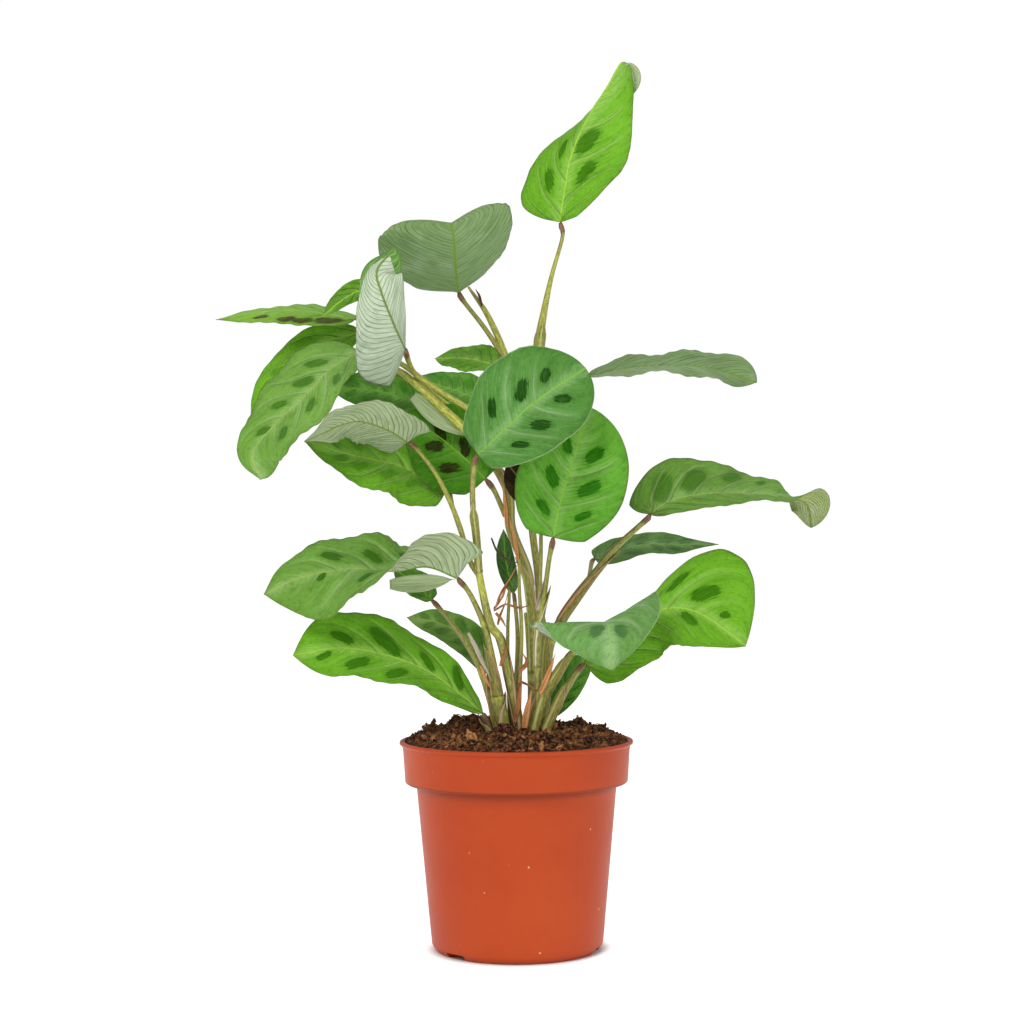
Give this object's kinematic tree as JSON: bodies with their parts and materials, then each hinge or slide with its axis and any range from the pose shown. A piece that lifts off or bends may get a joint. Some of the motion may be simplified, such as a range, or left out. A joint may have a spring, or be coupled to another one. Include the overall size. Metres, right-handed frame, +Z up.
{
  "type": "potted prayer plant",
  "caption": "Leafy prayer plant with blotched oval leaves on thin stalks, standing in soil in a round tapered plastic nursery pot with a banded lip.",
  "frame": {"origin": "middle of the pot's flat foot, on the surface it stands on", "axes": "+Z up, -Y towards the front as pictured, +X to the right of the front view"},
  "size_m": [0.3178, 0.1449, 0.4563],
  "materials": {
    "pot": "satin",
    "soil": "rough",
    "stalk": "satin",
    "leaf_bright": "satin",
    "leaf_green": "satin",
    "leaf_pale": "matt"
  },
  "bodies": {
    "root": {"pot": "pot", "soil": "soil", "shoot_left": "stalk", "shoot_low_left": "stalk", "shoot_inner": "stalk", "shoot_front": "stalk", "shoot_centre": "stalk", "shoot_heart": "stalk", "shoot_back": "stalk", "shoot_right": "stalk", "shoot_low_front": "stalk", "shoot_low_right": "stalk", "shoot_young": "stalk", "shoot_bud": "stalk", "leaf_01": "leaf_bright", "leaf_02": "leaf_pale", "leaf_03": "leaf_pale", "leaf_04": "leaf_bright", "leaf_05": "leaf_bright", "leaf_06": "leaf_bright", "leaf_07": "leaf_bright", "leaf_08": "leaf_pale", "leaf_09": "leaf_green", "leaf_10": "leaf_green", "leaf_11": "leaf_green", "leaf_12": "leaf_bright", "leaf_13": "leaf_green", "leaf_14": "leaf_green", "leaf_15": "leaf_green", "leaf_16": "leaf_pale", "leaf_17": "leaf_green", "leaf_18": "leaf_green", "leaf_19": "leaf_bright", "leaf_20": "leaf_green", "leaf_21": "leaf_green", "leaf_22": "leaf_bright", "leaf_23": "leaf_green", "leaf_24": "leaf_green", "leaf_25": "leaf_green", "leaf_26": "leaf_green", "leaf_27": "leaf_green"}
  },
  "joints": []
}
